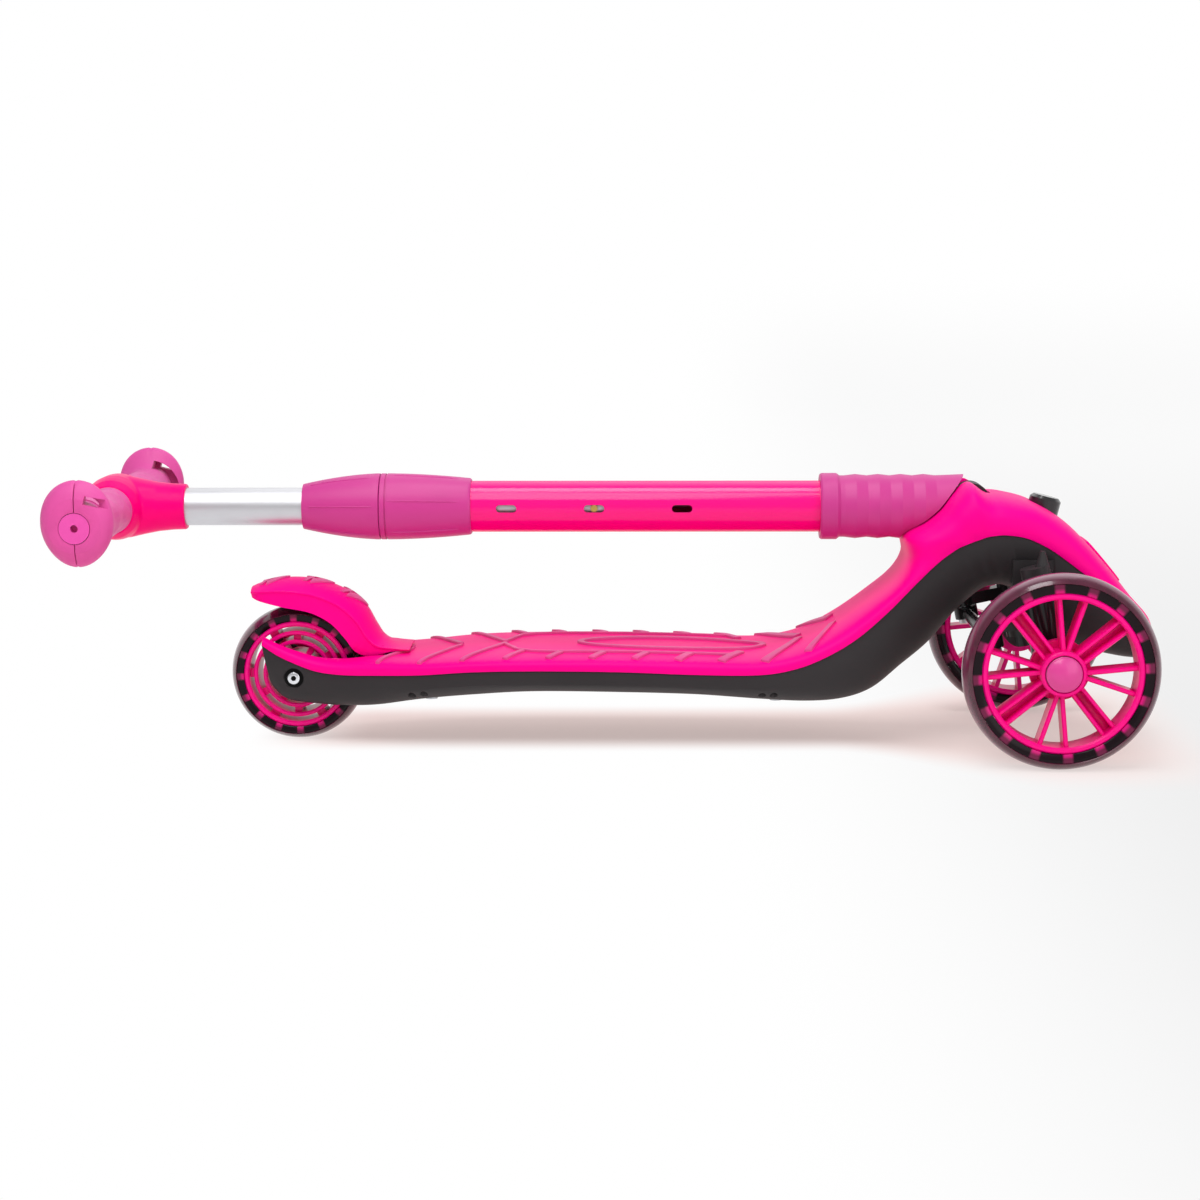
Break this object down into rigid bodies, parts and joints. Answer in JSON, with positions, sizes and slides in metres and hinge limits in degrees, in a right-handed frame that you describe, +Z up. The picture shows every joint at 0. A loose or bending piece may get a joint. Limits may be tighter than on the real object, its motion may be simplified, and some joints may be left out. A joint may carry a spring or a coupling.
{
  "type": "kick scooter",
  "caption": "Child's kick scooter, folded flat: broad deck, two steered front wheels, one braked rear wheel and a telescoping T-bar stem folded back over the deck.",
  "frame": {"origin": "on the floor, midway along the folded scooter and on its middle plane", "axes": "+X forward, from the rear wheel to the front wheels; +Y to the scooter's left; +Z up"},
  "size_m": [0.7093, 0.2628, 0.1854],
  "materials": {
    "pink_shell": "moulded, semi-gloss hot pink",
    "pink_rim": "moulded, semi-gloss deep pink",
    "pink_paint": "gloss powder coat over tube",
    "charcoal_shell": "moulded, satin charcoal",
    "mauve_plastic": "moulded, satin mauve pink",
    "mauve_rubber": "soft matt mauve rubber",
    "tyre": "clear smoked polyurethane",
    "black_rubber": "matt black",
    "black_steel": "black powder coat",
    "silver_tube": "satin anodised",
    "zinc_steel": "zinc plated",
    "brass": "plain"
  },
  "bodies": {
    "deck": {"deck_shell": "pink_shell", "under_shell": "charcoal_shell", "tread_ribs": "mauve_rubber", "nose_panel": "pink_shell", "shell_screws": "zinc_steel", "kingpin_beam": "black_steel", "fold_bracket": "zinc_steel", "bracket_screws": "zinc_steel", "fold_pin": "zinc_steel", "kingpins": "zinc_steel", "steering_springs": "zinc_steel", "rear_axle": "zinc_steel", "rear_axle_screws": "zinc_steel", "rear_spacers": "zinc_steel", "fender_pin": "zinc_steel", "fender_spring": "zinc_steel", "lock_spring": "zinc_steel"},
    "lock": {"lock_button": "charcoal_shell"},
    "brake": {"fender": "pink_shell", "fender_grips": "mauve_rubber", "brake_pad": "black_rubber"},
    "stem": {"hinge_block": "charcoal_shell", "block_bolts": "zinc_steel", "fold_sleeve": "mauve_plastic", "lower_tube": "pink_paint", "clamp_base": "mauve_plastic", "collet": "charcoal_shell"},
    "clamp": {"clamp_nut": "mauve_plastic"},
    "bar": {"upper_tube": "silver_tube", "tube_shoe": "charcoal_shell", "t_piece": "pink_shell", "t_screw": "zinc_steel", "bar_tube": "silver_tube", "right_grip": "mauve_rubber", "left_grip": "mauve_rubber", "end_plugs": "mauve_rubber", "snap_spring": "zinc_steel"},
    "snap": {"snap_button": "brass"},
    "right_steer": {"right_knuckle": "black_steel", "right_kingpin_bush": "brass", "right_axle_bolt": "zinc_steel", "right_axle_spacers": "zinc_steel", "right_rod_stud": "zinc_steel"},
    "left_steer": {"left_knuckle": "black_steel", "left_kingpin_bush": "brass", "left_axle_bolt": "zinc_steel", "left_axle_spacers": "zinc_steel", "left_rod_stud": "zinc_steel"},
    "tie_rod": {"tie_rod": "black_steel"},
    "right_wheel": {"right_rim": "pink_rim", "right_tyre": "tyre", "right_hub_cap": "mauve_plastic", "right_bearings": "zinc_steel"},
    "left_wheel": {"left_rim": "pink_rim", "left_tyre": "tyre", "left_hub_cap": "mauve_plastic", "left_bearings": "zinc_steel"},
    "rear_wheel": {"rear_rim": "pink_rim", "rear_tyre": "tyre", "rear_bearings": "zinc_steel"}
  },
  "joints": [
    {"name": "stem_fold", "type": "hinge", "parent": "deck", "child": "stem", "pos_m": [0.23615, 0, 0.161], "axis": [0, 1, 0], "range_deg": [0, 80]},
    {"name": "height_slide", "type": "slide", "parent": "stem", "child": "bar", "axis": [-1, 0, 0], "range_m": [-0.058, 0.058]},
    {"name": "height_button", "type": "slide", "parent": "bar", "child": "snap", "axis": [0, -1, 0], "range_m": [0, 0.0025], "stiffness_N_per_m": 200, "springref_m": 0.004},
    {"name": "clamp_turn", "type": "hinge", "parent": "stem", "child": "clamp", "pos_m": [-0.18185, 0, 0.156], "axis": [1, 0, 0], "range_deg": [0, 90]},
    {"name": "lock_press", "type": "slide", "parent": "deck", "child": "lock", "axis": [-0.2419, 0, -0.9703], "range_m": [0, 0.0035], "stiffness_N_per_m": 400, "springref_m": -0.002, "deforming": ["lock_spring"]},
    {"name": "brake_press", "type": "hinge", "parent": "deck", "child": "brake", "pos_m": [-0.15785, 0, 0.051], "axis": [0, -1, 0], "range_deg": [0, 3], "stiffness_Nm_per_rad": 8, "springref_deg": -5.73},
    {"name": "right_steering", "type": "hinge", "parent": "deck", "child": "right_steer", "pos_m": [0.28215, -0.066, 0.0625], "axis": [-0.2079, 0, 0.9781], "range_deg": [-14, 14], "stiffness_Nm_per_rad": 4},
    {"name": "left_steering", "type": "hinge", "parent": "deck", "child": "left_steer", "pos_m": [0.28215, 0.066, 0.0625], "axis": [-0.2079, 0, 0.9781], "range_deg": [-14, 14], "stiffness_Nm_per_rad": 4},
    {"name": "tie_rod_swing", "type": "hinge", "parent": "right_steer", "child": "tie_rod", "pos_m": [0.24257, -0.066, 0.07556], "axis": [-0.2079, 0, 0.9781], "range_deg": [-14, 14]},
    {"name": "right_wheel_spin", "type": "hinge", "parent": "right_steer", "child": "right_wheel", "pos_m": [0.28215, -0.104, 0.0625], "axis": [0, 1, 0], "continuous": true},
    {"name": "left_wheel_spin", "type": "hinge", "parent": "left_steer", "child": "left_wheel", "pos_m": [0.28215, 0.104, 0.0625], "axis": [0, 1, 0], "continuous": true},
    {"name": "rear_wheel_spin", "type": "hinge", "parent": "deck", "child": "rear_wheel", "pos_m": [-0.21185, 0, 0.045], "axis": [0, 1, 0], "continuous": true}
  ],
  "couplings": [
    {"joint": "left_steering", "follows": "right_steering", "ratio": 1},
    {"joint": "tie_rod_swing", "follows": "right_steering", "ratio": -1}
  ]
}
